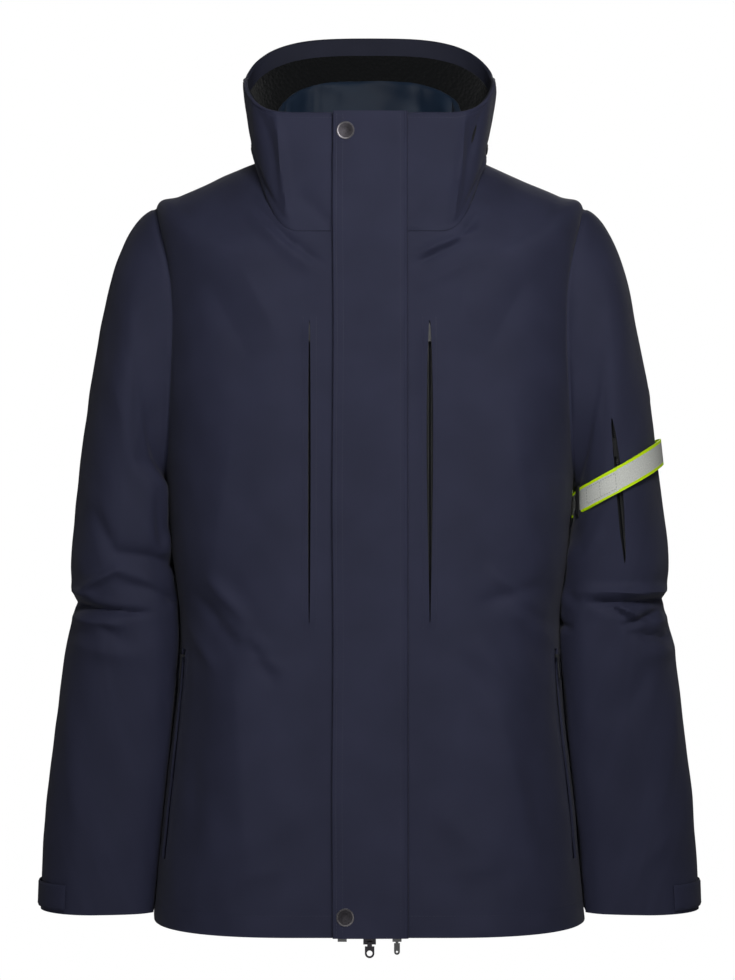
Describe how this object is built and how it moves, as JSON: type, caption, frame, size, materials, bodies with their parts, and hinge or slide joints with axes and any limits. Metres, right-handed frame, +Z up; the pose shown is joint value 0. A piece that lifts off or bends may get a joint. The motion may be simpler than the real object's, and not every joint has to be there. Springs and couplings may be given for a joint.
{
  "type": "foul weather jacket",
  "caption": "Hip-length foul weather jacket with a storm flap over a two-way zip, high collar, zip-in quilted liner, zipped pockets, cuff tabs and a reflective arm band.",
  "frame": {"origin": "middle of the neck at the height where the shoulders or a hanger carry the jacket", "axes": "+Z up, -Y out of the front, +X towards the wearer's left"},
  "size_m": [0.6656, 0.2844, 0.9066],
  "materials": {
    "shell_fabric": "matt woven navy polyester, laminated",
    "fleece": "black brushed fleece",
    "liner_quilt": "blue quilted nylon over padding",
    "gunmetal": "dark gunmetal plated zinc",
    "black_slider": "black lacquered zinc",
    "zip_chain": "black polyester tape with moulded coil",
    "pocket_lining": "black pocketing",
    "hook_tape": "black hook and loop tape",
    "reflective_tape": "silver retroreflective tape with yellow edges",
    "black_moulding": "matt black moulded plastic",
    "webbing": "black woven webbing"
  },
  "bodies": {
    "root": {"front_right_panel": "shell_fabric", "front_left_panel": "shell_fabric", "back_panel": "shell_fabric", "collar": "shell_fabric", "collar_facing": "shell_fabric", "collar_lining": "fleece", "sleeve_right_upper": "shell_fabric", "sleeve_left_upper": "shell_fabric", "sleeve_right_elbow": "shell_fabric", "sleeve_left_elbow": "shell_fabric", "snap_studs": "gunmetal", "front_facings": "shell_fabric", "inner_flap": "shell_fabric", "main_zip_right": "zip_chain", "main_zip_left": "zip_chain", "liner_front_right": "liner_quilt", "liner_front_left": "liner_quilt", "liner_back": "liner_quilt", "liner_collar": "liner_quilt", "liner_zip_right": "zip_chain", "liner_zip_left": "zip_chain", "chest_zip_right": "zip_chain", "chest_zip_left": "zip_chain", "chest_bag_right": "pocket_lining", "chest_bag_left": "pocket_lining", "hand_zip_right": "zip_chain", "hand_zip_left": "zip_chain", "hand_bag_right": "pocket_lining", "hand_bag_left": "pocket_lining", "sleeve_zip": "zip_chain", "sleeve_bag": "pocket_lining", "arm_band": "reflective_tape", "arm_band_ring": "black_moulding", "badge": "black_moulding", "hood_zip": "zip_chain", "hanger_loop": "webbing"},
    "storm_flap_body": {"storm_flap": "shell_fabric", "flap_snaps": "gunmetal"},
    "main_slider_top_body": {"main_slider_top": "gunmetal", "main_pull_top": "gunmetal"},
    "main_slider_bottom_body": {"main_slider_bottom": "gunmetal"},
    "main_pull_bottom_body": {"main_pull_bottom": "gunmetal"},
    "liner_slider_right_body": {"liner_slider_right": "black_slider"},
    "liner_slider_left_body": {"liner_slider_left": "black_slider"},
    "liner_pull_left_body": {"liner_pull_left": "black_slider"},
    "chest_slider_right_body": {"chest_slider_right": "black_slider"},
    "chest_slider_left_body": {"chest_slider_left": "black_slider"},
    "hand_slider_right_body": {"hand_slider_right": "gunmetal"},
    "hand_slider_left_body": {"hand_slider_left": "gunmetal"},
    "hand_pull_right_body": {"hand_pull_right": "gunmetal"},
    "hand_pull_left_body": {"hand_pull_left": "gunmetal"},
    "sleeve_slider_body": {"sleeve_slider": "black_slider"},
    "forearm_right": {"sleeve_right_lower": "shell_fabric", "cuff_patch_right": "hook_tape"},
    "forearm_left": {"sleeve_left_lower": "shell_fabric", "cuff_patch_left": "hook_tape"},
    "cuff_tab_right_body": {"cuff_tab_right": "shell_fabric"},
    "cuff_tab_left_body": {"cuff_tab_left": "shell_fabric"},
    "band_tail": {"arm_band_tail": "reflective_tape"}
  },
  "joints": [
    {"name": "storm_flap_hinge", "type": "hinge", "parent": "root", "child": "storm_flap_body", "pos_m": [0.034, -0.1431, -0.72386], "axis": [0, 0.0444, 0.999], "range_deg": [0, 120]},
    {"name": "main_zip_top_slide", "type": "slide", "parent": "root", "child": "main_slider_top_body", "axis": [0, -0.0444, -0.999], "range_m": [0, 0.45]},
    {"name": "main_zip_bottom_slide", "type": "slide", "parent": "root", "child": "main_slider_bottom_body", "axis": [0, 0.0444, 0.999], "range_m": [0, 0.25]},
    {"name": "main_pull_bottom_hinge", "type": "hinge", "parent": "main_slider_bottom_body", "child": "main_pull_bottom_body", "pos_m": [0, -0.14196, -0.72752], "axis": [-1, 0, 0], "range_deg": [-8, 80]},
    {"name": "liner_zip_right_slide", "type": "slide", "parent": "root", "child": "liner_slider_right_body", "axis": [0, 0.0444, 0.999], "range_m": [0, 0.5]},
    {"name": "liner_zip_left_slide", "type": "slide", "parent": "root", "child": "liner_slider_left_body", "axis": [0, 0.0444, 0.999], "range_m": [0, 0.5]},
    {"name": "liner_pull_left_hinge", "type": "hinge", "parent": "liner_slider_left_body", "child": "liner_pull_left_body", "pos_m": [0.026, -0.1304, -0.72643], "axis": [1, 0, 0], "range_deg": [0, 80]},
    {"name": "chest_zip_right_slide", "type": "slide", "parent": "root", "child": "chest_slider_right_body", "axis": [0, -0.0444, -0.999], "range_m": [0, 0.26]},
    {"name": "chest_zip_left_slide", "type": "slide", "parent": "root", "child": "chest_slider_left_body", "axis": [0, -0.0444, -0.999], "range_m": [0, 0.26]},
    {"name": "hand_zip_right_slide", "type": "slide", "parent": "root", "child": "hand_slider_right_body", "axis": [-0.0871, -0.0198, -0.996], "range_m": [0, 0.185]},
    {"name": "hand_zip_left_slide", "type": "slide", "parent": "root", "child": "hand_slider_left_body", "axis": [0.0871, -0.0198, -0.996], "range_m": [0, 0.185]},
    {"name": "hand_pull_right_hinge", "type": "hinge", "parent": "hand_slider_right_body", "child": "hand_pull_right_body", "pos_m": [-0.18449, -0.05803, -0.46183], "axis": [-0.3106, 0.9505, 0.0082], "range_deg": [0, 90]},
    {"name": "hand_pull_left_hinge", "type": "hinge", "parent": "hand_slider_left_body", "child": "hand_pull_left_body", "pos_m": [0.18449, -0.05803, -0.46183], "axis": [-0.3106, -0.9505, -0.0082], "range_deg": [0, 90]},
    {"name": "sleeve_zip_slide", "type": "slide", "parent": "root", "child": "sleeve_slider_body", "axis": [0.0984, 0.0602, -0.9933], "range_m": [0, 0.095]},
    {"name": "elbow_right", "type": "hinge", "parent": "root", "child": "forearm_right", "pos_m": [-0.24409, 0.006, -0.417], "axis": [-1, 0, 0], "range_deg": [0, 60], "deforming": ["sleeve_right_elbow"]},
    {"name": "elbow_left", "type": "hinge", "parent": "root", "child": "forearm_left", "pos_m": [0.24409, 0.006, -0.417], "axis": [-1, 0, 0], "range_deg": [0, 60], "deforming": ["sleeve_left_elbow"]},
    {"name": "cuff_tab_right_hinge", "type": "hinge", "parent": "forearm_right", "child": "cuff_tab_right_body", "pos_m": [-0.31706, 0.04101, -0.70147], "axis": [0, 0, -1], "range_deg": [0, 110]},
    {"name": "cuff_tab_left_hinge", "type": "hinge", "parent": "forearm_left", "child": "cuff_tab_left_body", "pos_m": [0.31706, 0.04101, -0.70147], "axis": [0, 0, 1], "range_deg": [0, 110]},
    {"name": "band_tail_hinge", "type": "hinge", "parent": "root", "child": "band_tail", "pos_m": [0.20829, -0.04891, -0.30926], "axis": [0.0373, 0.0324, -0.9988], "range_deg": [0, 70]}
  ]
}
